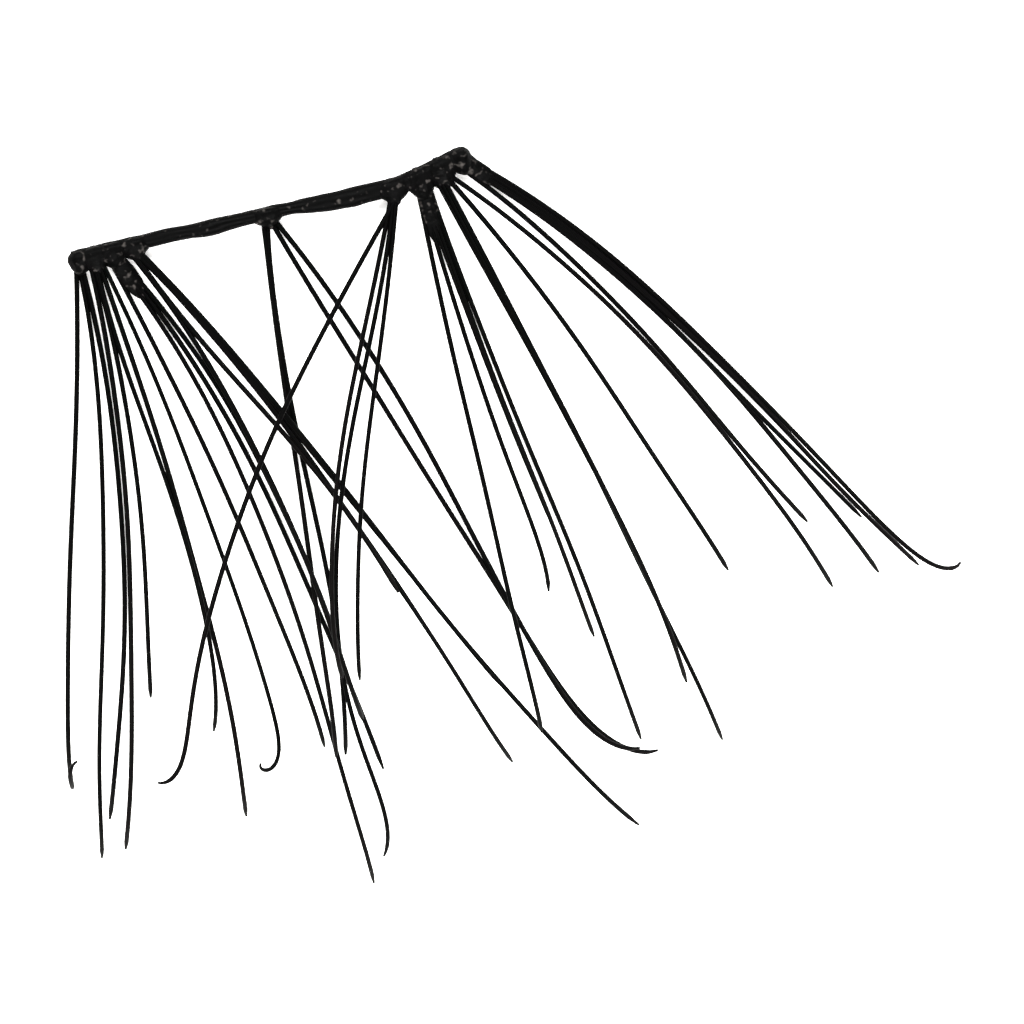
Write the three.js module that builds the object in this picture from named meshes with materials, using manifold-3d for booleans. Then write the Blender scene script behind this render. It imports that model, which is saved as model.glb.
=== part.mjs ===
// A false-lash cluster: a short band of glued thread with knotted tufts of fine black fibres,
// lying on its underside with the fibre tips curling up.
// Millimetres, +Z up. X runs along the band, the fibres leave it towards -Y,
// and the origin is under the middle knot, on the surface that the cluster lies on.

import * as THREE from "three";
import { mergeVertices } from "three/addons/utils/BufferGeometryUtils.js";
import Module from "manifold-3d";

// Band: a glue-stiffened thread, flat above and below, slightly bowed in plan
const BAND_HEIGHT = 0.34;
const BAND_SIDES = 8;
const BAND_STEPS = 30;
const BAND_LEAST_STEP = 0.05;
const BAND_STATIONS = [
  { along: -4.34, rise: 0.12, width: 0.16, height: 0.14 },
  { along: -4.22, rise: 0.14, width: 0.34, height: BAND_HEIGHT },
  { along: -3.3, rise: 0.15, width: 0.33, height: BAND_HEIGHT },
  { along: -2.4, rise: 0.14, width: 0.31, height: BAND_HEIGHT },
  { along: -1.8, rise: 0.12, width: 0.3, height: BAND_HEIGHT },
  { along: -1.3, rise: 0.08, width: 0.36, height: BAND_HEIGHT },
  { along: -0.6, rise: 0.08, width: 0.3, height: BAND_HEIGHT },
  { along: 0.4, rise: 0.07, width: 0.28, height: BAND_HEIGHT },
  { along: 1.2, rise: 0, width: 0.36, height: BAND_HEIGHT },
  { along: 1.7, rise: -0.04, width: 0.43, height: BAND_HEIGHT },
  { along: 2.4, rise: -0.04, width: 0.37, height: BAND_HEIGHT },
  { along: 2.9, rise: -0.02, width: 0.38, height: BAND_HEIGHT },
  { along: 3.3, rise: 0.03, width: 0.42, height: BAND_HEIGHT },
  { along: 4, rise: 0.18, width: 0.42, height: BAND_HEIGHT },
  { along: 4.38, rise: 0.2, width: 0.44, height: BAND_HEIGHT },
  { along: 4.5, rise: 0.21, width: 0.16, height: 0.14 },
];

// Knots: barrels that loop round the band and bulge towards the fibres.
// WRAP is the thickness of fibre under the band, KNOT_BEHIND and KNOT_AHEAD what lies at its two edges,
// and GAP the room between the two.
const WRAP = 0.07;
const GAP = 0.03;
const KNOT_SIDES = 12;
const KNOT_LENGTH = 0.3;
const KNOT_BEHIND = 0.05;
const KNOT_AHEAD = 0.2;
const KNOT_PROFILE = [
  { share: 0, size: 0.72 },
  { share: 0.12, size: 0.92 },
  { share: 0.3, size: 1 },
  { share: 0.7, size: 1 },
  { share: 0.88, size: 0.92 },
  { share: 1, size: 0.72 },
];

// Necks: glue drawn out from a knot along the roots of its fibres
const NECK_SIDES = 8;
const NECK_STEPS = 6;
const NECK_WIDTH = 0.3;
const NECK_HEIGHT = 0.4;
const NECK_END_WIDTH = 0.7;
const NECK_END_HEIGHT = 1.25;

// Fibres: a lock is one fibre, or a few that run together, drawn as one tapering tube
const FIBRE_RADIUS = 0.05;
const TIP_SHARE = 0.85;
const BUNDLE_GROWTH = 1.3;
const LOCK_SIDES = 5;
const LOCK_STEPS = 13;
const STEP_CROWDING = 1.7;
const SUBSTEPS = 12;
const ROOT_FORWARD = 0.18;
const CURL_ONSET = 3.5;
const SWEEP_ONSET = 10;
const HOOK_ONSET = 24;

// Tufts from the band's left end: along is the knot's place, spread the distance between its fibres' roots,
// exit the height where they leave, lift their slope there in degrees and neck how far the glue reaches.
// A lock has its heading in plan at the root, the middle and the tip, in degrees from square to the band
// and positive towards +X, then its length and the angle that its tip has curled up by.
// Some turn further near the tip, by a broad sweep or a tight hook, or hold several fibres.
const TUFTS = [
  {
    along: -4.12, spread: 0.06, exit: 0.16, lift: -2.4, neck: 0.42,
    locks: [
      { root: -12.5, middle: -16, tip: -4, sweep: 60, hook: -130, length: 14.3, curl: 138 },
      { root: -2, middle: -15, tip: -9, length: 13.8, curl: 75 },
      { root: 0.5, middle: -12.6, tip: -22, length: 12.8, curl: 70 },
    ],
  },
  {
    along: -3.75, spread: 0.06, exit: 0.34, lift: -1.5, neck: 0.47,
    locks: [
      { root: -1, middle: -12.2, tip: -16, length: 13.7, curl: 75 },
      { root: 2.5, middle: -8, tip: -12, length: 10, curl: 65 },
      { root: -2, middle: 4, tip: -21, length: 11.2, curl: 70 },
      { root: 5, middle: 1, tip: -7, length: 13.4, curl: 75 },
      { root: 12, middle: 5.3, tip: 4, hook: -235, length: 12.55, curl: 58 },
    ],
  },
  {
    along: -3.37, spread: 0.06, exit: 0.16, lift: -2.1, neck: 1.3,
    locks: [
      { root: 14, middle: 9.5, tip: 4, length: 12.3, curl: 70 },
      { root: 25, middle: 5, tip: 3, length: 15.9, curl: 75 },
      { root: 27, middle: 11, tip: 9, length: 12.8, curl: 50 },
      { root: 29, middle: 14, tip: 5, length: 9.8, curl: 32 },
    ],
  },
  {
    along: -2.9, spread: 0.06, exit: 0.34, lift: 0, neck: 0.45,
    locks: [
      { root: 25, middle: 10, tip: 4, length: 12.3, curl: 77 },
      { root: 20, middle: 27, tip: 14, length: 9.2, curl: 25 },
      { root: 30, middle: 20.5, tip: 19.5, length: 14.8, curl: 75, fibres: 2 },
      { root: 31, middle: 24, tip: 36.5, length: 17.3, curl: 65, fibres: 2 },
    ],
  },
  {
    along: 0, spread: 0.08, exit: 0.16, lift: -2.1, neck: 0.35,
    locks: [
      { root: -8, middle: -5.8, tip: -8, length: 12.4, curl: 70 },
      { root: -12, middle: -2.3, tip: -17, length: 12.4, curl: 70 },
      { root: 16, middle: 17.5, tip: 12, sweep: 85, length: 15.1, curl: 60 },
      { root: 25.5, middle: 13.4, tip: 15, sweep: 72, length: 14.7, curl: 60 },
    ],
  },
  {
    along: 2.72, spread: 0.06, exit: 0.34, lift: 6, neck: 0.47,
    locks: [
      { root: -24, middle: -22.5, tip: 3, length: 11.3, curl: 70 },
      { root: -19.5, middle: -17, tip: 47, sweep: -86, length: 15.4, curl: 67 },
      { root: -18.5, middle: -20.6, tip: -7, length: 11, curl: 60 },
      { root: -44, middle: -35.2, tip: -11, hook: -109, length: 14.4, curl: 55 },
    ],
  },
  {
    along: 3.33, spread: 0.08, exit: 0.16, lift: -2.4, neck: 1.6,
    locks: [
      { root: -3, middle: -1, tip: -2, length: 12.9, curl: 70 },
      { root: 0, middle: 5, tip: 7, sweep: -18, length: 9.6, curl: 60 },
      { root: 4, middle: 7, tip: 6, length: 11, curl: 65, fibres: 2 },
      { root: 4, middle: 8, tip: 2, length: 13.7, curl: 70 },
    ],
  },
  {
    along: 3.79, spread: 0.06, exit: 0.34, lift: 0, neck: 0.5,
    locks: [
      { root: 13, middle: 13, tip: 3, length: 13, curl: 70, fibres: 2 },
      { root: 14, middle: 12, tip: 10, length: 14.7, curl: 75 },
      { root: 28, middle: 20, tip: 18, length: 11.1, curl: 65 },
      { root: 42, middle: 27, tip: 17, length: 13.1, curl: 70 },
    ],
  },
  {
    along: 4.34, spread: 0.08, exit: 0.18, lift: -2.3, neck: 1,
    locks: [
      { root: 41, middle: 27.5, tip: 27, length: 11.2, curl: 60 },
      { root: 46, middle: 29, tip: 21, length: 13.3, curl: 65 },
      { root: 46, middle: 31, tip: 32, length: 11.8, curl: 55 },
      { root: 46.5, middle: 30.5, tip: 32, length: 13.7, curl: 65, fibres: 2 },
      { root: 47.5, middle: 30, tip: 36, hook: 110, length: 14.6, curl: 65 },
    ],
  },
];

const FIBRE_MATERIAL = new THREE.MeshStandardMaterial({ color: 0x0d0c0d, roughness: 0.45, metalness: 0 });
const GLUE_MATERIAL = new THREE.MeshStandardMaterial({ color: 0x080808, roughness: 0.3, metalness: 0 });

const UP = new THREE.Vector3(0, 0, 1);
const BAND_UNDERSIDE = WRAP + GAP;
const BAND_MIDDLE = BAND_UNDERSIDE + BAND_HEIGHT / 2;
const MERGE_DISTANCE = 1e-5;

const wasm = await Module();
wasm.setup();

// A closed geometry as a solid that can be joined and cut
function solidOf(geometry) {
  geometry.deleteAttribute("normal");
  geometry.deleteAttribute("uv");
  const merged = mergeVertices(geometry, MERGE_DISTANCE);
  return new wasm.Manifold(
    new wasm.Mesh({
      numProp: 3,
      vertProperties: merged.getAttribute("position").array,
      triVerts: Uint32Array.from(merged.index.array),
    }),
  );
}

// A named mesh of a finished solid
function meshOf(name, solid, material) {
  const { vertProperties, triVerts } = solid.getMesh();
  const geometry = new THREE.BufferGeometry();
  geometry.setAttribute("position", new THREE.BufferAttribute(vertProperties, 3));
  geometry.setIndex(new THREE.BufferAttribute(triVerts, 1));
  geometry.computeVertexNormals();
  const mesh = new THREE.Mesh(geometry, material);
  mesh.name = name;
  return mesh;
}

// A closed tube through rings, each with a centre, two half sizes and the directions they are measured in
function sweep(rings, sides) {
  const steps = rings.length - 1;
  const tube = new THREE.CylinderGeometry(1, 1, steps, sides, steps, false, Math.PI / sides);
  const position = tube.getAttribute("position");
  const corner = new THREE.Vector3();
  for (let i = 0; i < position.count; i++) {
    const ring = rings[Math.round(position.getY(i) + steps / 2)];
    corner.copy(ring.centre);
    corner.addScaledVector(ring.across, position.getX(i) * ring.halfWidth);
    corner.addScaledVector(ring.up, position.getZ(i) * ring.halfHeight);
    position.setXYZ(i, corner.x, corner.y, corner.z);
  }
  return solidOf(tube);
}

// A value of the band's stations at a place along it
function bandValue(along, column) {
  const next = Math.max(1, BAND_STATIONS.findIndex((station) => station.along >= along));
  const [from, to] = [BAND_STATIONS[next - 1], BAND_STATIONS[next]];
  return THREE.MathUtils.mapLinear(along, from.along, to.along, from[column], to[column]);
}

// One cross section of the band, made larger all round by some allowance
function bandRing(along, allowance) {
  const flat = Math.cos(Math.PI / BAND_SIDES);
  return {
    centre: new THREE.Vector3(along, bandValue(along, "rise"), BAND_MIDDLE),
    across: new THREE.Vector3(0, -1, 0),
    up: UP,
    halfWidth: (bandValue(along, "width") / 2 + allowance) / flat,
    halfHeight: (bandValue(along, "height") / 2 + allowance) / flat,
  };
}

// The band, or with an allowance the room that it needs inside the knots
function bandSolid(allowance) {
  const first = BAND_STATIONS[0].along;
  const last = BAND_STATIONS[BAND_STATIONS.length - 1].along;
  const evenPlaces = Array.from({ length: BAND_STEPS + 1 }, (_, i) =>
    THREE.MathUtils.lerp(first, last, i / BAND_STEPS),
  );
  const places = [...evenPlaces, ...BAND_STATIONS.map((station) => station.along)].sort((a, b) => a - b);
  const apart = places.filter((place, i) => i === 0 || place - places[i - 1] > BAND_LEAST_STEP);
  const rings = apart.map((place) => bandRing(place, allowance));
  rings[0].centre.x -= allowance;
  rings[rings.length - 1].centre.x += allowance;
  return sweep(rings, BAND_SIDES);
}

// A knot: a barrel round the band with a flat facet below
function knotSolid(along) {
  const flat = Math.cos(Math.PI / KNOT_SIDES);
  const middle = bandValue(along, "rise") + (KNOT_BEHIND - KNOT_AHEAD) / 2;
  const halfDepth = bandValue(along, "width") / 2 + GAP + (KNOT_BEHIND + KNOT_AHEAD) / 2;
  const rings = KNOT_PROFILE.map(({ share, size }) => ({
    centre: new THREE.Vector3(along + (share - 0.5) * KNOT_LENGTH, middle, BAND_MIDDLE),
    across: new THREE.Vector3(0, -1, 0),
    up: UP,
    halfWidth: (halfDepth * size) / flat,
    halfHeight: (BAND_MIDDLE * size) / flat,
  }));
  return sweep(rings, KNOT_SIDES);
}

// A neck: a funnel from the middle of the band through the tuft's roots, as wide as they fan out
function neckSolid({ along, spread, exit, lift, neck, locks }) {
  const headings = locks.map((lock) => THREE.MathUtils.degToRad(lock.root));
  const heading = headings.reduce((sum, each) => sum + each, 0) / headings.length;
  const fan = (Math.max(...headings) - Math.min(...headings)) / 2;
  const slope = Math.tan(THREE.MathUtils.degToRad(lift));
  const ahead = new THREE.Vector3(Math.sin(heading), -Math.cos(heading), slope);
  const rise = bandValue(along, "rise");
  const middle = new THREE.Vector3(along, rise, BAND_MIDDLE);
  const roots = new THREE.Vector3(along, rise - ROOT_FORWARD, exit);
  const reach = neck - ROOT_FORWARD;
  const end = roots.clone().addScaledVector(ahead, reach);
  const path = new THREE.QuadraticBezierCurve3(middle, roots, end);
  const bundle = ((locks.length - 1) / 2) * spread + FIBRE_RADIUS;
  const endWidth = bundle * NECK_END_WIDTH + reach * Math.tan(fan);
  const rings = Array.from({ length: NECK_STEPS + 1 }, (_, i) => {
    const share = i / NECK_STEPS;
    const drawnIn = THREE.MathUtils.smoothstep(share, 0, 1);
    const tangent = path.getTangent(share);
    return {
      centre: path.getPoint(share),
      across: new THREE.Vector3(tangent.y, -tangent.x, 0).normalize(),
      up: UP,
      halfWidth: THREE.MathUtils.lerp(NECK_WIDTH / 2, endWidth, drawnIn),
      halfHeight: THREE.MathUtils.lerp(NECK_HEIGHT / 2, FIBRE_RADIUS * NECK_END_HEIGHT, drawnIn),
    };
  });
  return sweep(rings, NECK_SIDES);
}

// Heading in plan, in degrees, at a share of a lock's length
function headingAt({ root, middle, tip, sweep = 0, hook = 0 }, share) {
  const fromRoot = root * (1 - share) * (1 - 2 * share);
  const fromMiddle = middle * 4 * share * (1 - share);
  const fromTip = tip * share * (2 * share - 1);
  return fromRoot + fromMiddle + fromTip + sweep * share ** SWEEP_ONSET + hook * share ** HOOK_ONSET;
}

// Slope, in degrees, at a share of a lock's length
function slopeAt(lock, lift, share) {
  return lift * (1 - share) ** 2 + lock.curl * share ** CURL_ONSET;
}

// Direction of a lock at a share of its length
function directionAt(lock, lift, share) {
  const heading = THREE.MathUtils.degToRad(headingAt(lock, share));
  const slope = THREE.MathUtils.degToRad(slopeAt(lock, lift, share));
  return new THREE.Vector3(
    Math.cos(slope) * Math.sin(heading),
    -Math.cos(slope) * Math.cos(heading),
    Math.sin(slope),
  );
}

// Rings along a lock, crowded towards the tip, where it turns most
function lockRings(lock, lift, start) {
  const bundle = 1 + BUNDLE_GROWTH * (Math.sqrt(lock.fibres ?? 1) - 1);
  const centre = start.clone();
  const rings = [];
  let share = 0;
  for (let step = 0; step <= LOCK_STEPS; step++) {
    const target = 1 - (1 - step / LOCK_STEPS) ** STEP_CROWDING;
    const advance = (target - share) / SUBSTEPS;
    for (let sub = 0; sub < SUBSTEPS && advance > 0; sub++) {
      centre.addScaledVector(directionAt(lock, lift, share + advance / 2), advance * lock.length);
      share += advance;
    }
    const heading = THREE.MathUtils.degToRad(headingAt(lock, share));
    const across = new THREE.Vector3(Math.cos(heading), Math.sin(heading), 0);
    const radius = FIBRE_RADIUS * bundle * THREE.MathUtils.lerp(1, TIP_SHARE / bundle, share);
    rings.push({
      centre: centre.clone(),
      across,
      up: across.clone().cross(directionAt(lock, lift, share)),
      halfWidth: radius,
      halfHeight: radius,
    });
  }
  return rings;
}

// A tuft: a knot with its neck and locks, cut clear of the band
function tuftSolid(row, bandRoom) {
  const { along, spread, exit, lift, locks } = row;
  const front = bandValue(along, "rise") - ROOT_FORWARD;
  let tuft = knotSolid(along).add(neckSolid(row));
  locks.forEach((lock, i) => {
    const aside = (i - (locks.length - 1) / 2) * spread;
    const start = new THREE.Vector3(along + aside, front, exit);
    tuft = tuft.add(sweep(lockRings(lock, lift, start), LOCK_SIDES));
  });
  return tuft.subtract(bandRoom);
}

const cluster = new THREE.Group();
cluster.add(meshOf("band", bandSolid(0), GLUE_MATERIAL));
const bandRoom = bandSolid(GAP);
TUFTS.forEach((tuft, i) => {
  cluster.add(meshOf(`tuft_${i + 1}`, tuftSolid(tuft, bandRoom), FIBRE_MATERIAL));
});

export default cluster;
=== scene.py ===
import math

import bpy
import numpy as np
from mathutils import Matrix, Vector, noise


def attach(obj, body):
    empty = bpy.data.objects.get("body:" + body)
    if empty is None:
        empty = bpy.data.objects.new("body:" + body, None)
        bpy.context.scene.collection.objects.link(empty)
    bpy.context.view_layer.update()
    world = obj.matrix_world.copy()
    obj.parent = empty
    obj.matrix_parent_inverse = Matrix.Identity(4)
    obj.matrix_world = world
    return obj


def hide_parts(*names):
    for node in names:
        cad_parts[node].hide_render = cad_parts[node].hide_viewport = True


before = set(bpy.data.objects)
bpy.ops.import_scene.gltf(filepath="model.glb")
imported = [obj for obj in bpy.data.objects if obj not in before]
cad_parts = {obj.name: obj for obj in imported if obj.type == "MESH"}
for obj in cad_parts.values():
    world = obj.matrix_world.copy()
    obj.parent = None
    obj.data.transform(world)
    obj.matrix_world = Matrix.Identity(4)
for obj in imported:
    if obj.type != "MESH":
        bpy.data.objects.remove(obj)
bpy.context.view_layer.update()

# Band
# A short thread of two plies, soaked in black glue that has dried hard, which carries all the knots.
# It is 8.8 mm long and a third of a millimetre thick, and a drop of glue seals each cut end.
MM = 0.001
BAND_MIDDLE = 0.27
BAND_STATIONS = [
    dict(along=-4.33, rise=0.12, width=0.36, height=0.36),
    dict(along=-4.1, rise=0.15, width=0.36, height=0.36),
    dict(along=-3.3, rise=0.15, width=0.33, height=0.34),
    dict(along=-2.4, rise=0.14, width=0.31, height=0.34),
    dict(along=-1.8, rise=0.12, width=0.3, height=0.33),
    dict(along=-1.3, rise=0.08, width=0.36, height=0.34),
    dict(along=-0.6, rise=0.08, width=0.3, height=0.33),
    dict(along=0.4, rise=0.07, width=0.28, height=0.33),
    dict(along=1.2, rise=0, width=0.36, height=0.34),
    dict(along=1.7, rise=-0.04, width=0.43, height=0.35),
    dict(along=2.4, rise=-0.04, width=0.37, height=0.34),
    dict(along=2.9, rise=-0.02, width=0.38, height=0.34),
    dict(along=3.3, rise=0.03, width=0.42, height=0.34),
    dict(along=4, rise=0.18, width=0.42, height=0.36),
    dict(along=4.25, rise=0.2, width=0.5, height=0.46),
    dict(along=4.48, rise=0.21, width=0.46, height=0.44),
]
BAND_STEPS = 420
BAND_SIDES = 40
PLY_PITCH = 1.1
PLY_RELIEF = 0.012
LUMP_SIZE = 0.35
LUMP_RELIEF = 0.014
END_ROUNDING = 0.25
END_FLATNESS = 0.998
STATION_EASING = 0.2
STATION_SAMPLES = 9


def linear(hex_colour):
    """An sRGB hex colour as a linear one with full alpha, by the curve of the sRGB standard."""
    values = [int(hex_colour[i : i + 2], 16) / 255 for i in (1, 3, 5)]
    curve = [v / 12.92 if v <= 0.04045 else ((v + 0.055) / 1.055) ** 2.4 for v in values]
    return (*curve, 1)


def socket(sockets, name):
    """The socket in use with that name, or the one at that number."""
    if isinstance(name, int):
        return sockets[name]
    return next(found for found in sockets if found.enabled and found.name == name)


def add_node(tree, kind, inputs=None, **settings):
    """Adds a node with its settings. Each input is a value, or (node, output), or a list of those to join."""
    node = tree.nodes.new(kind)
    for name, value in settings.items():
        setattr(node, name, value)
    for name, given in (inputs or {}).items():
        for value in given if isinstance(given, list) else [given]:
            if isinstance(value, tuple) and isinstance(value[0], bpy.types.Node):
                tree.links.new(socket(value[0].outputs, value[1]), socket(node.inputs, name))
            else:
                socket(node.inputs, name).default_value = value
    return node


def new_material(name):
    """A material with an empty node tree, and that tree."""
    material = bpy.data.materials.new(name)
    material.use_nodes = True
    material.node_tree.nodes.clear()
    return material, material.node_tree


# Dried black lash glue: a rubbery film, wet-looking where it pooled and dull where it sank into the thread,
# with pale smudges, most of them on the knots: partly dust and dried crumbs caught in it, partly painted
# glints of light.
GLUE_BLACK = "#020202"
GLUE_WORN = "#060606"
# The pale grey of the smudges: dust in the glue, and painted glints of light.
GLUE_DUST_AND_GLINT = "#3a3735"
GLUE_POOL = 0.28
POOL_DETAIL = 3
WET_UP_TO = 0.3
DULL_FROM = 0.7
GLUE_WET = 0.32
GLUE_DULL = 0.6
GLUE_IOR = 1.48
GLUE_SHEEN = 0.015
GLUE_GRAIN = 0.05
GRAIN_DETAIL = 4
GRAIN_STRENGTH = 0.35
GRAIN_RELIEF = 0.006
DUST_AND_GLINT_SIZE = 0.13
DUST_AND_GLINT_DETAIL = 1
DUST_AND_GLINT_SOFTNESS = 0.2
# Where the pale smudges begin in their noise, on the band and on the knots: dust, and painted glints of
# light.
BAND_DUST_AND_GLINT_FROM = 0.66
KNOT_DUST_AND_GLINT_FROM = 0.6


def glue_material(name, dust_and_glint_from):
    material, tree = new_material(name)
    place = add_node(tree, "ShaderNodeTexCoord")
    pools = add_node(
        tree,
        "ShaderNodeTexNoise",
        {"Vector": (place, "Object"), "Scale": 1 / (GLUE_POOL * MM), "Detail": POOL_DETAIL},
    )
    grain = add_node(
        tree,
        "ShaderNodeTexNoise",
        {"Vector": (place, "Object"), "Scale": 1 / (GLUE_GRAIN * MM), "Detail": GRAIN_DETAIL},
    )
    dust_and_glint_noise = add_node(
        tree,
        "ShaderNodeTexNoise",
        {"Vector": (place, "Object"), "Scale": 1 / (DUST_AND_GLINT_SIZE * MM), "Detail": DUST_AND_GLINT_DETAIL},
    )
    # Mask of the pale smudges: partly dust caught in the glue, partly painted glints of light.
    dust_and_glint_mask = add_node(
        tree,
        "ShaderNodeMapRange",
        {"Value": (dust_and_glint_noise, "Fac"), "From Min": dust_and_glint_from, "From Max": dust_and_glint_from + DUST_AND_GLINT_SOFTNESS},
    )
    film = add_node(
        tree,
        "ShaderNodeMix",
        {"Factor": (pools, "Fac"), "A": linear(GLUE_BLACK), "B": linear(GLUE_WORN)},
        data_type="RGBA",
    )
    colour = add_node(
        tree,
        "ShaderNodeMix",
        {"Factor": (dust_and_glint_mask, "Result"), "A": (film, "Result"), "B": linear(GLUE_DUST_AND_GLINT)},
        data_type="RGBA",
    )
    rough = add_node(
        tree,
        "ShaderNodeMapRange",
        {
            "Value": (pools, "Fac"),
            "From Min": WET_UP_TO,
            "From Max": DULL_FROM,
            "To Min": GLUE_WET,
            "To Max": GLUE_DULL,
        },
    )
    bump = add_node(
        tree,
        "ShaderNodeBump",
        {"Height": (grain, "Fac"), "Strength": GRAIN_STRENGTH, "Distance": GRAIN_RELIEF * MM},
    )
    shader = add_node(
        tree,
        "ShaderNodeBsdfPrincipled",
        {
            "Base Color": (colour, "Result"),
            "Roughness": (rough, "Result"),
            "IOR": GLUE_IOR,
            "Specular IOR Level": GLUE_SHEEN,
            "Normal": (bump, "Normal"),
        },
    )
    add_node(tree, "ShaderNodeOutputMaterial", {"Surface": (shader, "BSDF")})
    return material


BAND_GLUE = glue_material("dried black lash glue", BAND_DUST_AND_GLINT_FROM)


def band_value(place, column):
    """A column of the band's stations at places along it, eased over the bends between them."""
    stations = [row["along"] for row in BAND_STATIONS]
    values = [row[column] for row in BAND_STATIONS]
    around = np.linspace(-STATION_EASING, STATION_EASING, STATION_SAMPLES)
    return np.mean([np.interp(place + shift, stations, values) for shift in around], axis=0)


def band_rounding(place):
    """The share of its thickness that the rounded ends leave the band at places along it, up to 1."""
    from_left = place - BAND_STATIONS[0]["along"]
    from_right = BAND_STATIONS[-1]["along"] - place
    inward = np.clip(1 - np.minimum(from_left, from_right) / END_ROUNDING, 0, END_FLATNESS)
    return np.sqrt(1 - inward**2)


def lump(points, size):
    """Smooth noise from -1 to 1 at points in millimetres, with bumps of that size."""
    return np.array([noise.noise(Vector(point) / size) for point in points])


def tube_faces(rings, sides):
    """Faces of a closed tube whose vertices lie ring after ring, with a flat cap at both ends."""
    faces = []
    for ring in range(rings - 1):
        for side in range(sides):
            here = ring * sides + side
            beside = ring * sides + (side + 1) % sides
            faces.append((here, beside, beside + sides, here + sides))
    faces.append(tuple(reversed(range(sides))))
    faces.append(tuple((rings - 1) * sides + side for side in range(sides)))
    return faces


def show(name, mesh, node):
    """Puts a finished mesh in the scene in place of a node of the part."""
    piece = bpy.data.objects.new(name, mesh)
    bpy.context.scene.collection.objects.link(piece)
    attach(piece, "root")
    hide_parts(node)


def band_mesh():
    places = np.linspace(BAND_STATIONS[0]["along"], BAND_STATIONS[-1]["along"], BAND_STEPS + 1)
    dome = band_rounding(places)[:, None]
    turns = np.linspace(0, 2 * math.pi, BAND_SIDES, endpoint=False)
    along, turn = np.meshgrid(places, turns, indexing="ij")
    plies = PLY_RELIEF * np.abs(np.cos(turn - math.pi * along / PLY_PITCH)) - PLY_RELIEF / 2
    half_width = band_value(places, "width")[:, None] / 2 + plies
    half_height = band_value(places, "height")[:, None] / 2 + plies
    core = np.stack([along, half_width * np.cos(turn), half_height * np.sin(turn)], axis=-1)
    relief = LUMP_RELIEF * lump(core.reshape(-1, 3), LUMP_SIZE).reshape(along.shape)
    rise = band_value(places, "rise")[:, None]
    y = rise + dome * (half_width + relief) * np.cos(turn)
    z = BAND_MIDDLE + dome * (half_height + relief) * np.sin(turn)
    points = np.stack([along, y, z], axis=-1).reshape(-1, 3) * MM
    mesh = bpy.data.meshes.new("glued_band")
    mesh.from_pydata(points.tolist(), [], tube_faces(BAND_STEPS + 1, BAND_SIDES))
    mesh.shade_smooth()
    mesh.materials.append(BAND_GLUE)
    return mesh


show("glued_band", band_mesh(), "band")

# Knots
# Each tuft is tied on by its own fibres: they loop round the band in tight turns, and are set with a touch
# of the same glue, which is drawn out into a short neck along their roots.
KNOT_LENGTH = 0.3
KNOT_BEHIND = 0.01
KNOT_INSET = 0.1
KNOT_DROP = 0.02
KNOT_TURNS = 3
KNOT_VOXEL = 0.012
KNOT_LUMP = 0.012
KNOT_LUMP_SIZE = 0.13
KNOT_LUMP_DETAIL = 1
NOISE_MIDDLE = 0.5
COLLAR_REACH = 0.34
COLLAR_FILM = 0.06
COLLAR_SUNK = 0.02
COLLAR_STEPS = 24
COLLAR_SIDES = 32
STRAND_RADIUS = 0.045
STRAND_SIDES = 12
GLUE_PASSES = 14
TURN_STEPS = 36
NECK_WIDTH = 0.3
NECK_HEIGHT = 0.4
NECK_END_WIDTH = 0.8
NECK_END_HEIGHT = 0.7
NECK_POINT = 0.85
NECK_POINT_ONSET = 8
NECK_STEPS = 24
NECK_SIDES = 24
ROOT_FORWARD = 0.18
FIBRE_RADIUS = 0.053
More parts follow.
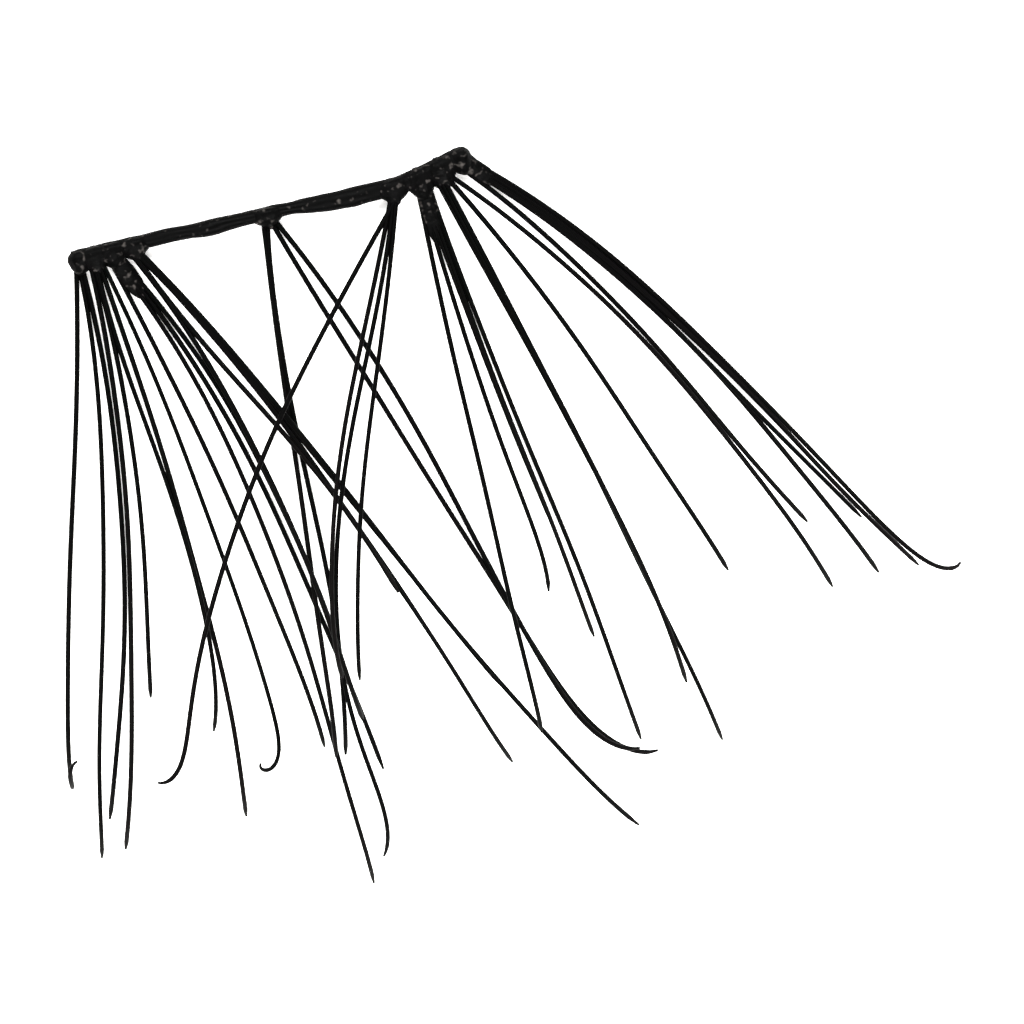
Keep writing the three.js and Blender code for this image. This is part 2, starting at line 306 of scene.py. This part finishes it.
# Tufts from the band's left end: along is the knot's place, spread the distance between its fibres' roots,
# exit the height where they leave, lift their slope there in degrees, neck how far the glue reaches along
# them and web how far it spreads ahead of the band. A lock has its heading in plan at the root, the middle
# and the tip, in degrees from square to the band, then its length and the angle that its tip has curled by.
# Some turn further near the tip, by a broad sweep or a tight hook, or have a second fibre close beside them.
TUFTS = [
    dict(
        along=-4.12, spread=0.06, exit=0.16, lift=-2.4, neck=0.42, web=0.14,
        locks=[
            dict(root=-12.5, middle=-16, tip=-4, sweep=60, hook=-130, length=14.3, curl=138),
            dict(root=-2, middle=-15, tip=-9, length=13.8, curl=75),
            dict(root=0.5, middle=-12.6, tip=-22, length=12.8, curl=70),
        ],
    ),
    dict(
        along=-3.75, spread=0.06, exit=0.34, lift=-1.5, neck=0.47, web=0.18,
        locks=[
            dict(root=-1, middle=-12.2, tip=-16, length=13.7, curl=75),
            dict(root=2.5, middle=-8, tip=-12, length=10, curl=65),
            dict(root=-2, middle=4, tip=-21, length=11.2, curl=70),
            dict(root=5, middle=1, tip=-7, length=13.4, curl=75),
            dict(root=12, middle=5.3, tip=4, hook=-235, length=12.55, curl=58),
        ],
    ),
    dict(
        along=-3.37, spread=0.06, exit=0.16, lift=-2.1, neck=1.3, web=0.18,
        locks=[
            dict(root=14, middle=9.5, tip=4, length=12.3, curl=70),
            dict(root=25, middle=5, tip=3, length=15.9, curl=75),
            dict(root=27, middle=11, tip=9, length=12.8, curl=50),
            dict(root=29, middle=14, tip=5, length=9.8, curl=32),
        ],
    ),
    dict(
        along=-2.9, spread=0.06, exit=0.34, lift=0, neck=0.45, web=0.12,
        locks=[
            dict(root=25, middle=10, tip=4, length=12.3, curl=77),
            dict(root=20, middle=27, tip=14, length=9.2, curl=25),
            dict(root=30, middle=20.5, tip=19.5, length=14.8, curl=75, beside=0.05),
            dict(root=31, middle=24, tip=36.5, length=17.3, curl=65, beside=-0.08),
        ],
    ),
    dict(
        along=0, spread=0.08, exit=0.16, lift=-2.1, neck=0.35, web=0.08,
        locks=[
            dict(root=-8, middle=-5.8, tip=-8, length=12.4, curl=70),
            dict(root=-12, middle=-2.3, tip=-17, length=12.4, curl=70),
            dict(root=16, middle=17.5, tip=12, sweep=85, length=15.1, curl=60),
            dict(root=25.5, middle=13.4, tip=15, sweep=72, length=14.7, curl=60),
        ],
    ),
    dict(
        along=2.72, spread=0.06, exit=0.34, lift=6, neck=0.47, web=0.1,
        locks=[
            dict(root=-24, middle=-22.5, tip=3, length=11.3, curl=70),
            dict(root=-19.5, middle=-17, tip=47, sweep=-86, length=15.4, curl=67),
            dict(root=-18.5, middle=-20.6, tip=-7, length=11, curl=60),
            dict(root=-44, middle=-35.2, tip=-11, hook=-109, length=14.4, curl=55),
        ],
    ),
    dict(
        along=3.33, spread=0.08, exit=0.16, lift=-2.4, neck=1.6, web=0.24,
        locks=[
            dict(root=-3, middle=-1, tip=-2, length=12.9, curl=70),
            dict(root=0, middle=5, tip=7, sweep=-18, length=9.6, curl=60),
            dict(root=4, middle=7, tip=6, length=11, curl=65, beside=-0.08),
            dict(root=4, middle=8, tip=2, length=13.7, curl=70),
        ],
    ),
    dict(
        along=3.79, spread=0.06, exit=0.34, lift=0, neck=0.5, web=0.22,
        locks=[
            dict(root=13, middle=13, tip=3, length=13, curl=70, beside=-0.08),
            dict(root=14, middle=12, tip=10, length=14.7, curl=75),
            dict(root=28, middle=20, tip=18, length=11.1, curl=65),
            dict(root=42, middle=27, tip=17, length=13.1, curl=70),
        ],
    ),
    dict(
        along=4.34, spread=0.08, exit=0.18, lift=-2.3, neck=1, web=0.1,
        locks=[
            dict(root=41, middle=27.5, tip=27, length=11.2, curl=60),
            dict(root=46, middle=29, tip=21, length=13.3, curl=65),
            dict(root=46, middle=31, tip=32, length=11.8, curl=55),
            dict(root=46.5, middle=30.5, tip=32, length=13.7, curl=65, beside=-0.08),
            dict(root=47.5, middle=30, tip=36, hook=110, length=14.6, curl=65),
        ],
    ),
]


def new_geometry_tree(name, inputs):
    """A Geometry Nodes tree with named inputs, and the node that gives them."""
    tree = bpy.data.node_groups.new(name, "GeometryNodeTree")
    for label, kind in inputs.items():
        tree.interface.new_socket(label, in_out="INPUT", socket_type=kind)
    tree.interface.new_socket("Geometry", in_out="OUTPUT", socket_type="NodeSocketGeometry")
    return tree, add_node(tree, "NodeGroupInput")


def end_geometry_tree(tree, given, shape):
    """Ends a tree with its shape brought to metres, smooth, realized and in its material."""
    metres = add_node(tree, "GeometryNodeTransform", {"Geometry": shape, "Scale": (given, "Scale")})
    smooth = add_node(tree, "GeometryNodeSetShadeSmooth", {"Geometry": (metres, "Geometry")})
    real = add_node(tree, "GeometryNodeRealizeInstances", {"Geometry": (smooth, "Geometry")})
    finish = add_node(
        tree, "GeometryNodeSetMaterial", {"Geometry": (real, "Geometry"), "Material": (given, "Material")}
    )
    add_node(tree, "NodeGroupOutput", {"Geometry": (finish, "Geometry")})


def grown(mesh, tree, values):
    """The plain mesh that a Geometry Nodes tree makes of a mesh, with these values for its inputs."""
    host = bpy.data.objects.new(mesh.name, mesh)
    bpy.context.scene.collection.objects.link(host)
    modifier = host.modifiers.new(tree.name, "NODES")
    modifier.node_group = tree
    for item in tree.interface.items_tree:
        if item.in_out == "INPUT" and item.name in values:
            modifier[item.identifier] = values[item.name]
    depsgraph = bpy.context.evaluated_depsgraph_get()
    result = bpy.data.meshes.new_from_object(host.evaluated_get(depsgraph))
    host.modifiers.clear()
    bpy.data.objects.remove(host)
    return result


def knot_tree():
    tree, given = new_geometry_tree(
        "tied knot",
        {
            "Collar and neck": "NodeSocketGeometry",
            "Points": "NodeSocketInt",
            "Turn per point": "NodeSocketFloat",
            "Advance per point": "NodeSocketFloat",
            "Start": "NodeSocketVector",
            "Half depth": "NodeSocketFloat",
            "Half height": "NodeSocketFloat",
            "Strand radius": "NodeSocketFloat",
            "Strand sides": "NodeSocketInt",
            "Voxel": "NodeSocketFloat",
            "Glue passes": "NodeSocketInt",
            "Lump": "NodeSocketFloat",
            "Lumps per unit": "NodeSocketFloat",
            "Scale": "NodeSocketFloat",
            "Material": "NodeSocketMaterial",
        },
    )
    index = (add_node(tree, "GeometryNodeInputIndex"), "Index")
    angle = add_node(tree, "ShaderNodeMath", {0: index, 1: (given, "Turn per point")}, operation="MULTIPLY")
    advance = add_node(
        tree, "ShaderNodeMath", {0: index, 1: (given, "Advance per point")}, operation="MULTIPLY"
    )
    cosine = add_node(tree, "ShaderNodeMath", {0: (angle, "Value")}, operation="COSINE")
    sine = add_node(tree, "ShaderNodeMath", {0: (angle, "Value")}, operation="SINE")
    turn = add_node(
        tree,
        "ShaderNodeCombineXYZ",
        {"X": (advance, "Value"), "Y": (cosine, "Value"), "Z": (sine, "Value")},
    )
    size = add_node(
        tree, "ShaderNodeCombineXYZ", {"X": 1, "Y": (given, "Half depth"), "Z": (given, "Half height")}
    )
    place = add_node(
        tree,
        "ShaderNodeVectorMath",
        {0: (turn, "Vector"), 1: (size, "Vector"), 2: (given, "Start")},
        operation="MULTIPLY_ADD",
    )
    line = add_node(tree, "GeometryNodeMeshLine", {"Count": (given, "Points")})
    coil = add_node(
        tree, "GeometryNodeSetPosition", {"Geometry": (line, "Mesh"), "Position": (place, "Vector")}
    )
    path = add_node(tree, "GeometryNodeMeshToCurve", {"Mesh": (coil, "Geometry")})
    section = add_node(
        tree,
        "GeometryNodeCurvePrimitiveCircle",
        {"Resolution": (given, "Strand sides"), "Radius": (given, "Strand radius")},
    )
    strand = add_node(
        tree,
        "GeometryNodeCurveToMesh",
        {"Curve": (path, "Curve"), "Profile Curve": (section, "Curve"), "Fill Caps": True},
    )
    both = add_node(
        tree, "GeometryNodeJoinGeometry", {"Geometry": [(strand, "Mesh"), (given, "Collar and neck")]}
    )
    solid = add_node(
        tree, "GeometryNodeMeshToSDFGrid", {"Mesh": (both, "Geometry"), "Voxel Size": (given, "Voxel")}
    )
    skin = add_node(tree, "GeometryNodeGridToMesh", {"Grid": (solid, "SDF Grid"), "Threshold": 0})
    position = add_node(tree, "GeometryNodeInputPosition")
    eased = add_node(
        tree,
        "GeometryNodeBlurAttribute",
        {"Value": (position, "Position"), "Iterations": (given, "Glue passes")},
        data_type="FLOAT_VECTOR",
    )
    bumps = add_node(
        tree, "ShaderNodeTexNoise", {"Scale": (given, "Lumps per unit"), "Detail": KNOT_LUMP_DETAIL}
    )
    swell = add_node(tree, "ShaderNodeMath", {0: (bumps, "Fac"), 1: NOISE_MIDDLE}, operation="SUBTRACT")
    proud = add_node(tree, "ShaderNodeMath", {0: (swell, "Value"), 1: (given, "Lump")}, operation="MULTIPLY")
    normal = add_node(tree, "GeometryNodeInputNormal")
    lumps = add_node(
        tree,
        "ShaderNodeVectorMath",
        {0: (normal, "Normal"), "Scale": (proud, "Value")},
        operation="SCALE",
    )
    glued = add_node(
        tree,
        "GeometryNodeSetPosition",
        {"Geometry": (skin, "Mesh"), "Position": (eased, "Value"), "Offset": (lumps, "Vector")},
    )
    end_geometry_tree(tree, given, (glued, "Geometry"))
    return tree


def collar_points(tuft):
    """Rings of a film of glue over the band at a knot, sunk into the band at its ends and behind."""
    reach = np.linspace(-1, 1, COLLAR_STEPS + 1)[:, None]
    fade = np.cos(reach * math.pi / 2)
    place = np.clip(
        tuft["along"] + reach * COLLAR_REACH, BAND_STATIONS[0]["along"], BAND_STATIONS[-1]["along"]
    )
    dome = band_rounding(place)
    turns = np.linspace(0, 2 * math.pi, COLLAR_SIDES, endpoint=False)
    ahead = np.clip(-np.cos(turns), 0, 1) ** 2
    behind = np.clip(np.cos(turns), 0, 1) ** 2
    film = fade * (COLLAR_FILM + COLLAR_SUNK) * (1 - behind) - COLLAR_SUNK
    back = dome * ((band_value(place, "width") / 2 + film) * np.cos(turns) - fade * tuft["web"] * ahead)
    above = dome * (band_value(place, "height") / 2 + film) * np.sin(turns)
    x = np.broadcast_to(place, above.shape)
    return np.stack([x, band_value(place, "rise") + back, BAND_MIDDLE + above], axis=-1).reshape(-1, 3)


def neck_points(tuft):
    """Rings of a funnel from the middle of the band through the tuft's roots, as wide as they fan out."""
    headings = np.radians([lock["root"] for lock in tuft["locks"]])
    heading = headings.mean()
    fan = np.ptp(headings) / 2
    bundle = (len(tuft["locks"]) - 1) / 2 * tuft["spread"] + FIBRE_RADIUS
    rise = band_value(tuft["along"], "rise")
    start = np.array([tuft["along"], rise, BAND_MIDDLE])
    roots = np.array([tuft["along"], rise - ROOT_FORWARD, tuft["exit"]])
    slope = math.tan(math.radians(tuft["lift"]))
    reach = tuft["neck"] - ROOT_FORWARD
    end = roots + np.array([math.sin(heading), -math.cos(heading), slope]) * reach
    end_width = bundle * NECK_END_WIDTH + reach * math.tan(fan)
    share = np.linspace(0, 1, NECK_STEPS + 1)[:, None]
    path = start * (1 - share) ** 2 + roots * 2 * share * (1 - share) + end * share**2
    ahead = (roots - start) * (1 - share) + (end - roots) * share
    across = np.stack([-ahead[:, 1], ahead[:, 0], np.zeros(NECK_STEPS + 1)], axis=-1)
    across /= np.linalg.norm(across, axis=1, keepdims=True)
    drawn_in = share**2 * (3 - 2 * share)
    half_width = NECK_WIDTH / 2 + drawn_in * (end_width - NECK_WIDTH / 2)
    half_width *= 1 - NECK_POINT * share**NECK_POINT_ONSET
    half_height = NECK_HEIGHT / 2 + drawn_in * (FIBRE_RADIUS * NECK_END_HEIGHT - NECK_HEIGHT / 2)
    turns = np.linspace(0, 2 * math.pi, NECK_SIDES, endpoint=False)
    aside = across[:, None, :] * (half_width * np.cos(turns))[:, :, None]
    above = np.array([0, 0, 1]) * (half_height * np.sin(turns))[:, :, None]
    return (path[:, None, :] + aside + above).reshape(-1, 3)


def collar_and_neck(name, tuft):
    """The film of glue at a knot and its neck as one mesh in millimetres."""
    collar = collar_points(tuft)
    neck_faces = tube_faces(NECK_STEPS + 1, NECK_SIDES)
    shifted = [tuple(corner + len(collar) for corner in face) for face in neck_faces]
    faces = tube_faces(COLLAR_STEPS + 1, COLLAR_SIDES) + shifted
    mesh = bpy.data.meshes.new(name)
    mesh.from_pydata(np.vstack([collar, neck_points(tuft)]).tolist(), [], faces)
    return mesh


# The knots' glue has more of the pale smudges: dust, and painted glints of light.
KNOT_GLUE = glue_material("black lash glue with dust and painted glints", KNOT_DUST_AND_GLINT_FROM)
KNOT_TREE = knot_tree()
COIL_POINTS = KNOT_TURNS * TURN_STEPS + 1
COIL_LENGTH = KNOT_LENGTH - 2 * STRAND_RADIUS
COIL_MIDDLE = BAND_MIDDLE - KNOT_DROP
FIRST_COIL = BAND_STATIONS[0]["along"] + KNOT_LENGTH / 2 + KNOT_INSET
LAST_COIL = BAND_STATIONS[-1]["along"] - KNOT_LENGTH / 2 - KNOT_INSET
for number, tuft in enumerate(TUFTS, start=1):
    coil_place = np.clip(tuft["along"], FIRST_COIL, LAST_COIL)
    knot_middle = band_value(coil_place, "rise") + (KNOT_BEHIND - tuft["web"]) / 2
    knot_half_depth = band_value(coil_place, "width") / 2 + (KNOT_BEHIND + tuft["web"]) / 2
    knot = grown(
        collar_and_neck(f"knot_{number}", tuft),
        KNOT_TREE,
        {
            "Points": COIL_POINTS,
            "Turn per point": 2 * math.pi / TURN_STEPS,
            "Advance per point": COIL_LENGTH / (COIL_POINTS - 1),
            "Start": (coil_place - COIL_LENGTH / 2, knot_middle, COIL_MIDDLE),
            "Half depth": knot_half_depth - STRAND_RADIUS,
            "Half height": COIL_MIDDLE - STRAND_RADIUS - KNOT_LUMP,
            "Strand radius": STRAND_RADIUS,
            "Strand sides": STRAND_SIDES,
            "Voxel": KNOT_VOXEL,
            "Glue passes": GLUE_PASSES,
            "Lump": KNOT_LUMP / NOISE_MIDDLE,
            "Lumps per unit": 1 / KNOT_LUMP_SIZE,
            "Scale": MM,
            "Material": KNOT_GLUE,
        },
    )
    show(f"knot_{number}", knot, f"tuft_{number}")

# Fibres
# Single fibres of black polyester, drawn fine, bluntly pointed, and heat-set so that their ends curl up.
# Each leaves its knot with its neighbours, and some have a shorter one beside them that runs into them.
FIBRE_STEPS = 150
FIBRE_SIDES = 10
FIBRE_TIP = 0.93
POINT_FROM = 0.97
POINT_TIP = 0.5
THICKNESS_VARIATION = 0.07
PAIR_SHORTER = 0.3
STEP_CROWDING = 1.7
CURL_ONSET = 3.5
SWEEP_ONSET = 10
HOOK_ONSET = 24
WANDER = 0.02
WANDER_LENGTH = 6
FIBRE_SEED = 5

# Black PBT fibre: dyed through, with the satin gloss and the lengthwise lines of drawing, browner where it
# thins. The lines are drawn coarser than they are, so that they show.
FIBRE_BLACK = "#020202"
FIBRE_BROWN = "#090707"
FIBRE_SMOOTH = 0.42
FIBRE_WORN = 0.62
FIBRE_IOR = 1.55
FIBRE_SHEEN = 0.012
DRAW_LINES_ROUND = 9
DRAW_LINE_LENGTH = 1.5
DRAW_LINE_DETAIL = 2
DRAW_LINE_STRENGTH = 0.3
DRAW_LINE_RELIEF = 0.008


def fibre_material():
    material, tree = new_material("black polyester lash fibre")
    along = add_node(tree, "ShaderNodeAttribute", attribute_name="along")
    around = add_node(tree, "ShaderNodeAttribute", attribute_name="around")
    tint = add_node(tree, "ShaderNodeAttribute", attribute_name="tint")
    lengthways = add_node(
        tree, "ShaderNodeMath", {0: (along, "Fac"), 1: 1 / DRAW_LINE_LENGTH}, operation="MULTIPLY"
    )
    down = add_node(tree, "ShaderNodeCombineXYZ", {"Z": (lengthways, "Value")})
    lines_per_turn = DRAW_LINES_ROUND / (2 * math.pi)
    surface = add_node(
        tree,
        "ShaderNodeVectorMath",
        {0: (around, "Vector"), 1: (lines_per_turn, lines_per_turn, 1), 2: (down, "Vector")},
        operation="MULTIPLY_ADD",
    )
    lines = add_node(
        tree,
        "ShaderNodeTexNoise",
        {"Vector": (surface, "Vector"), "Scale": 1, "Detail": DRAW_LINE_DETAIL},
    )
    colour = add_node(
        tree,
        "ShaderNodeMix",
        {"Factor": (tint, "Fac"), "A": linear(FIBRE_BLACK), "B": linear(FIBRE_BROWN)},
        data_type="RGBA",
    )
    rough = add_node(
        tree,
        "ShaderNodeMapRange",
        {"Value": (lines, "Fac"), "To Min": FIBRE_SMOOTH, "To Max": FIBRE_WORN},
    )
    bump = add_node(
        tree,
        "ShaderNodeBump",
        {"Height": (lines, "Fac"), "Strength": DRAW_LINE_STRENGTH, "Distance": DRAW_LINE_RELIEF * MM},
    )
    shader = add_node(
        tree,
        "ShaderNodeBsdfPrincipled",
        {
            "Base Color": (colour, "Result"),
            "Roughness": (rough, "Result"),
            "IOR": FIBRE_IOR,
            "Specular IOR Level": FIBRE_SHEEN,
            "Normal": (bump, "Normal"),
        },
    )
    add_node(tree, "ShaderNodeOutputMaterial", {"Surface": (shader, "BSDF")})
    return material


FIBRE = fibre_material()


def fibre_tree():
    tree, given = new_geometry_tree(
        "lash fibres",
        {
            "Paths": "NodeSocketGeometry",
            "Sides": "NodeSocketInt",
            "Scale": "NodeSocketFloat",
            "Material": "NodeSocketMaterial",
        },
    )
    path = add_node(tree, "GeometryNodeMeshToCurve", {"Mesh": (given, "Paths")})
    circle = add_node(tree, "GeometryNodeCurvePrimitiveCircle", {"Resolution": (given, "Sides"), "Radius": 1})
    position = add_node(tree, "GeometryNodeInputPosition")
    section = add_node(
        tree,
        "GeometryNodeStoreNamedAttribute",
        {"Geometry": (circle, "Curve"), "Name": "around", "Value": (position, "Position")},
        data_type="FLOAT_VECTOR",
        domain="POINT",
    )
    radius = add_node(tree, "GeometryNodeInputNamedAttribute", {"Name": "thickness"}, data_type="FLOAT")
    tube = add_node(
        tree,
        "GeometryNodeCurveToMesh",
        {
            "Curve": (path, "Curve"),
            "Profile Curve": (section, "Geometry"),
            "Scale": (radius, "Attribute"),
            "Fill Caps": True,
        },
    )
    end_geometry_tree(tree, given, (tube, "Mesh"))
    return tree


def heading_at(lock, share):
    """Heading in plan at a share of a lock's length: a parabola through its headings, and any late turn."""
    from_root = lock["root"] * (1 - share) * (1 - 2 * share)
    from_middle = lock["middle"] * 4 * share * (1 - share)
    from_tip = lock["tip"] * share * (2 * share - 1)
    late = lock.get("sweep", 0) * share**SWEEP_ONSET + lock.get("hook", 0) * share**HOOK_ONSET
    return from_root + from_middle + from_tip + late


def lock_path(tuft, lock, root, share):
    """Points in millimetres along the middle of a lock, and the level direction across it at each."""
    halfway = (share[1:] + share[:-1]) / 2
    heading = np.radians(heading_at(lock, halfway))
    slope = np.radians(tuft["lift"] * (1 - halfway) ** 2 + lock["curl"] * halfway**CURL_ONSET)
    level = np.cos(slope)
    ahead = np.stack([level * np.sin(heading), -level * np.cos(heading), np.sin(slope)], axis=-1)
    steps = ahead * (np.diff(share) * lock["length"])[:, None]
    points = np.array(root) + np.vstack([np.zeros(3), np.cumsum(steps, axis=0)])
    facing = np.radians(heading_at(lock, share))
    across = np.stack([np.cos(facing), np.sin(facing), np.zeros_like(share)], axis=-1)
    return points, across


def fibre_paths(name, tuft, draw):
    """The centre lines of a tuft's fibres as one mesh of edges, with their thickness, length and tint."""
    even = 1 - (1 - np.linspace(0, 1, FIBRE_STEPS + 1)) ** STEP_CROWDING
    taper = 1 - (1 - FIBRE_TIP) * even
    taper *= np.interp(even, [POINT_FROM, 1], [1, POINT_TIP])
    points, edges, thickness, along, tint = [], [], [], [], []
    for place, lock in enumerate(tuft["locks"]):
        aside = (place - (len(tuft["locks"]) - 1) / 2) * tuft["spread"]
        front = band_value(tuft["along"], "rise") - ROOT_FORWARD
        offsets = [0, lock["beside"]] if "beside" in lock else [0]
        for fibre, beside in enumerate(offsets):
            share = even * (1 - fibre * PAIR_SHORTER)
            middle, across = lock_path(tuft, lock, (tuft["along"] + aside, front, tuft["exit"]), share)
            apart = beside * (1 - even)
            phase = draw.uniform(0, 2 * math.pi)
            wander = WANDER * share * np.sin(phase + 2 * math.pi * share * lock["length"] / WANDER_LENGTH)
            first = len(points)
            points.extend((middle + across * (apart + wander)[:, None]).tolist())
            edges.extend((first + step, first + step + 1) for step in range(FIBRE_STEPS))
            size = FIBRE_RADIUS * (1 + draw.uniform(-THICKNESS_VARIATION, THICKNESS_VARIATION))
            thickness.extend(size * taper)
            along.extend(share * lock["length"] + draw.uniform(0, lock["length"]))
            tint.extend(draw.uniform(0, 1) * share)
    mesh = bpy.data.meshes.new(name)
    mesh.from_pydata(points, edges, [])
    for label, values in (("thickness", thickness), ("along", along), ("tint", tint)):
        mesh.attributes.new(label, "FLOAT", "POINT").data.foreach_set("value", values)
    return mesh


FIBRE_TREE = fibre_tree()
fibre_draw = np.random.default_rng(FIBRE_SEED)
for number, tuft in enumerate(TUFTS, start=1):
    fibres = grown(
        fibre_paths(f"fibres_{number}", tuft, fibre_draw),
        FIBRE_TREE,
        {"Sides": FIBRE_SIDES, "Scale": MM, "Material": FIBRE},
    )
    show(f"fibres_{number}", fibres, f"tuft_{number}")

# Surface, light and camera
# The cluster lies on a white card under two long softboxes, one behind the band and one beyond the tips,
# so that the light runs along the fibres and leaves them black. A little light comes up through the card
# and whitens the shadows on it. The camera looks straight down through a long lens.
CARD_SIZE = 900
CARD_WHITE = "#f6f5f3"
CARD_ROUGHNESS = 0.9
CARD_SHEEN = 0.1
CARD_TOOTH = 0.09
CARD_TOOTH_DETAIL = 3
CARD_TOOTH_STRENGTH = 0.2
CARD_TOOTH_RELIEF = 0.01
CARD_GLOW = 0.35
LIGHT_DISTANCE = 420
LIGHT_ELEVATION = 52
LIGHT_LENGTH = 420
LIGHT_DEPTH = 160
LIGHT_POWER = 4.4
ROOM_HORIZON = "#ffffff"
ROOM_ZENITH = "#6a6a6a"
ROOM_FADE = 0.45
ROOM_STRENGTH = 1.15
LENS = 800
SENSOR = 36
VIEW_WIDTH = 21.6
VIEW_TURN = -14.3
VIEW_MIDDLE = (3.45, -7.3, 0)
VIEW_CLIP = 10


def card_material():
    """White card: matt, with its fibres' tooth drawn coarse enough to show, and lit through a little."""
    material, tree = new_material("white card")
    place = add_node(tree, "ShaderNodeTexCoord")
    tooth = add_node(
        tree,
        "ShaderNodeTexNoise",
        {"Vector": (place, "Object"), "Scale": 1 / (CARD_TOOTH * MM), "Detail": CARD_TOOTH_DETAIL},
    )
    bump = add_node(
        tree,
        "ShaderNodeBump",
        {"Height": (tooth, "Fac"), "Strength": CARD_TOOTH_STRENGTH, "Distance": CARD_TOOTH_RELIEF * MM},
    )
    shader = add_node(
        tree,
        "ShaderNodeBsdfPrincipled",
        {
            "Base Color": linear(CARD_WHITE),
            "Roughness": CARD_ROUGHNESS,
            "Specular IOR Level": CARD_SHEEN,
            "Emission Color": linear(CARD_WHITE),
            "Emission Strength": CARD_GLOW,
            "Normal": (bump, "Normal"),
        },
    )
    add_node(tree, "ShaderNodeOutputMaterial", {"Surface": (shader, "BSDF")})
    return material


card_mesh = bpy.data.meshes.new("card")
card_half = CARD_SIZE / 2 * MM
card_signs = [(-1, -1), (1, -1), (1, 1), (-1, 1)]
card_corners = [(x * card_half, y * card_half, 0) for x, y in card_signs]
card_mesh.from_pydata(card_corners, [], [(0, 1, 2, 3)])
card_mesh.materials.append(card_material())
card = bpy.data.objects.new("card", card_mesh)
bpy.context.scene.collection.objects.link(card)

view_middle = Vector(VIEW_MIDDLE) * MM
elevation = math.radians(LIGHT_ELEVATION)
for side in (1, -1):
    lamp = bpy.data.lights.new("softbox", "AREA")
    lamp.shape = "RECTANGLE"
    lamp.size = LIGHT_LENGTH * MM
    lamp.size_y = LIGHT_DEPTH * MM
    lamp.energy = LIGHT_POWER
    softbox = bpy.data.objects.new("softbox", lamp)
    back = Vector((0, side * math.cos(elevation), math.sin(elevation)))
    softbox.location = view_middle + back * LIGHT_DISTANCE * MM
    softbox.rotation_euler = (-back).to_track_quat("-Z", "Y").to_euler()
    bpy.context.scene.collection.objects.link(softbox)

room = bpy.data.worlds.new("pale room")
room.use_nodes = True
room.node_tree.nodes.clear()
sky = add_node(room.node_tree, "ShaderNodeTexCoord")
height = add_node(room.node_tree, "ShaderNodeSeparateXYZ", {"Vector": (sky, "Generated")})
fading = add_node(room.node_tree, "ShaderNodeMapRange", {"Value": (height, "Z"), "From Max": ROOM_FADE})
shade = add_node(
    room.node_tree,
    "ShaderNodeMix",
    {"Factor": (fading, "Result"), "A": linear(ROOM_HORIZON), "B": linear(ROOM_ZENITH)},
    data_type="RGBA",
)
glow = add_node(
    room.node_tree, "ShaderNodeBackground", {"Color": (shade, "Result"), "Strength": ROOM_STRENGTH}
)
add_node(room.node_tree, "ShaderNodeOutputWorld", {"Surface": (glow, "Background")})
bpy.context.scene.world = room
bpy.context.scene.view_settings.view_transform = "Standard"

camera = bpy.data.objects.new("camera", bpy.data.cameras.new("camera"))
camera.data.lens = LENS
camera.data.sensor_width = SENSOR
view_distance = VIEW_WIDTH * LENS / SENSOR * MM
camera.data.clip_start = view_distance / VIEW_CLIP
camera.data.clip_end = view_distance * VIEW_CLIP
camera.location = view_middle + Vector((0, 0, view_distance))
camera.rotation_euler = (0, 0, math.radians(VIEW_TURN))
bpy.context.scene.collection.objects.link(camera)
bpy.context.scene.camera = camera
